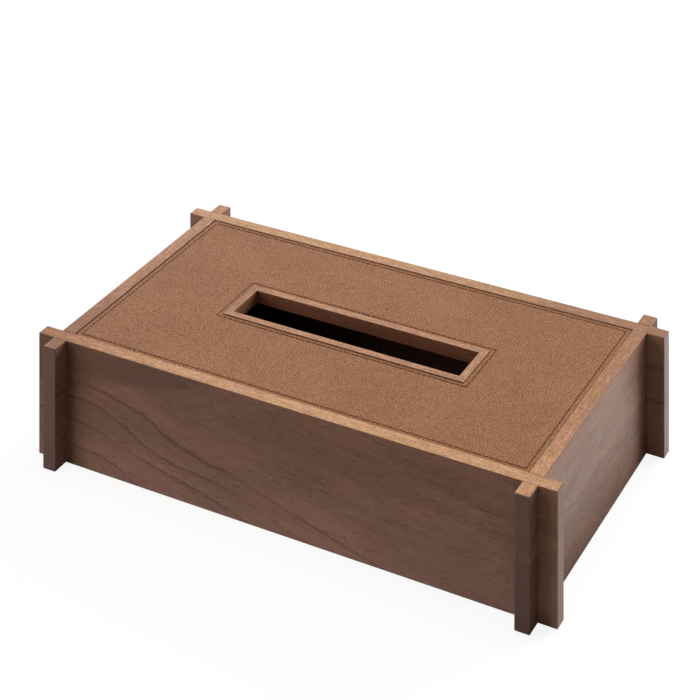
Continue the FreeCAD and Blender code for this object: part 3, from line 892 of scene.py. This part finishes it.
board_ply = plywood()
dress("base_board", board_ply)
dress("lid_board", board_ply)
dress("lid_magnets", plated_metal("nickel_plate", (0.66, 0.62, 0.56), gloss=0.16))
dress("lid_steel_discs", plated_metal("plain_steel", (0.50, 0.50, 0.51), gloss=0.26))

cover = piece_of(leather_cover(), tan_leather(), "lid", "leather", "lid_leather")
thread = brown_thread()
piece_of(stitch_row("edge_stitches", EDGE_ROW), thread, "lid", "thread", "edge_stitching")
piece_of(stitch_row("slot_stitches", SLOT_ROW), thread, "lid", "thread", "slot_stitching")
dark_felt = napped_cloth("dark_felt", dark=(0.026, 0.018, 0.014), light=(0.090, 0.066, 0.053),
                         weave=1.0, nap=1.0)
felt = piece_of(felt_pad(), dark_felt, "case", "felt", "base_lining")
microfibre = napped_cloth("dark_microfibre", dark=(0.030, 0.020, 0.016), light=(0.065, 0.045, 0.036),
                          weave=0.5, nap=0.5)
lining = piece_of(lid_cloth(), microfibre, "lid", "lining_cloth", "lid_lining")

# ------------------------------------------------------------------ floor, light and camera

FLOOR_LEVEL = -0.05 * MM
LOOKED_AT = (0, 0, 0.03)


def choose(tree, rays, chosen, other):
    """Mixes two shaders: the chosen one for the named kinds of ray, and the other elsewhere."""
    path = tree.nodes.new("ShaderNodeLightPath")
    either = path.outputs[rays[0]]
    for name in rays[1:]:
        larger = tree.nodes.new("ShaderNodeMath")
        larger.operation = "MAXIMUM"
        tree.links.new(either, larger.inputs[0])
        tree.links.new(path.outputs[name], larger.inputs[1])
        either = larger.outputs[0]
    mixer = tree.nodes.new("ShaderNodeMixShader")
    tree.links.new(either, mixer.inputs[0])
    tree.links.new(other, mixer.inputs[1])
    tree.links.new(chosen, mixer.inputs[2])
    return mixer.outputs[0]


def studio_floor(reach, glow, seen_grey, mirrored_grey, lighting_grey):
    """A pale floor: white with a soft shadow as seen, and matt for reflected and bounced light."""
    mesh = bpy.data.meshes.new("floor")
    corners = [(x * reach, y * reach, FLOOR_LEVEL) for x, y in ((-1, -1), (1, -1), (1, 1), (-1, 1))]
    mesh.from_pydata(corners, [], [(0, 1, 2, 3)])
    floor = bpy.data.objects.new("floor", mesh)
    bpy.context.scene.collection.objects.link(floor)
    paint = bpy.data.materials.new("floor_paint")
    paint.use_nodes = True
    tree = paint.node_tree
    tree.nodes.clear()
    matt = []
    for grey in (seen_grey, mirrored_grey, lighting_grey):
        matt.append(tree.nodes.new("ShaderNodeBsdfDiffuse"))
        matt[-1].inputs["Color"].default_value = (grey, grey, grey, 1)
    shine = tree.nodes.new("ShaderNodeEmission")
    shine.inputs["Strength"].default_value = glow
    seen = tree.nodes.new("ShaderNodeAddShader")
    tree.links.new(shine.outputs[0], seen.inputs[0])
    tree.links.new(matt[0].outputs[0], seen.inputs[1])
    rest = choose(tree, ("Is Glossy Ray", "Is Transmission Ray"), matt[1].outputs[0], matt[2].outputs[0])
    output = tree.nodes.new("ShaderNodeOutputMaterial")
    tree.links.new(choose(tree, ("Is Camera Ray",), seen.outputs[0], rest), output.inputs["Surface"])
    mesh.materials.append(paint)


def studio_world(seen, ambient):
    """White behind everything as seen, and a weaker even light from all round."""
    world = bpy.data.worlds.new("studio")
    bpy.context.scene.world = world
    world.use_nodes = True
    tree = world.node_tree
    tree.nodes.clear()
    backgrounds = []
    for strength in (seen, ambient):
        background = tree.nodes.new("ShaderNodeBackground")
        background.inputs["Color"].default_value = (1, 1, 1, 1)
        background.inputs["Strength"].default_value = strength
        backgrounds.append(background.outputs[0])
    rays = ("Is Camera Ray", "Is Glossy Ray", "Is Transmission Ray")
    output = tree.nodes.new("ShaderNodeOutputWorld")
    tree.links.new(choose(tree, rays, *backgrounds), output.inputs["Surface"])


def soft_lamp(name, place, size, power):
    """A square area lamp that looks at the middle of the box."""
    light = bpy.data.lights.new(name, "AREA")
    light.size = size
    light.energy = power
    lamp = bpy.data.objects.new(name, light)
    bpy.context.scene.collection.objects.link(lamp)
    lamp.location = place
    lamp.rotation_euler = (Vector(LOOKED_AT) - Vector(place)).to_track_quat("-Z", "Y").to_euler()


def view_camera(place, heading, focal, rise, width):
    """A view camera with an upright back, so that upright edges stay parallel.

    Its optical axis leans down by atan(rise / focal), with both in pixels of a frame of
    this width, while its picture plane stays upright. The stand holds that lean, and the
    lens is the distance along the axis.
    """
    ahead = Vector((math.sin(heading), math.cos(heading), 0))
    across = Vector((math.cos(heading), -math.sin(heading), 0))
    up = Vector((0, 0, 1))
    lean = math.atan2(rise, focal)
    axis = ahead * math.cos(lean) - up * math.sin(lean)
    columns = (across, up, -axis, Vector(place))
    stand = bpy.data.objects.new("camera_stand", None)
    data = bpy.data.cameras.new("camera")
    camera = bpy.data.objects.new("camera", data)
    for item in (stand, camera):
        bpy.context.scene.collection.objects.link(item)
    data.sensor_width = 36.0
    data.lens = math.hypot(focal, rise) / width * data.sensor_width
    data.clip_start, data.clip_end = 0.01, 20.0
    camera.parent = stand
    rows = [[column[part] for column in columns] for part in range(3)]
    camera.matrix_parent_inverse = Matrix(rows + [[0, 0, 0, 1]])
    bpy.context.scene.camera = camera


studio_floor(reach=3.0, glow=0.86, seen_grey=0.21, mirrored_grey=0.90, lighting_grey=0.35)
studio_world(seen=1.0, ambient=0.03)
soft_lamp("overhead", place=(-0.12, 0.0, 1.3), size=1.0, power=8.6)
soft_lamp("key", place=(0.613, 1.377, 0.44), size=1.25, power=39.0)
soft_lamp("front_fill", place=(-0.90, -1.00, 0.45), size=0.9, power=7.9)
view_camera(place=(0.511617, -0.975378, 0.655436), heading=math.radians(-27.79741), focal=2041.921,
            rise=1113.051, width=700.0)

bpy.context.scene.view_settings.view_transform = "Standard"
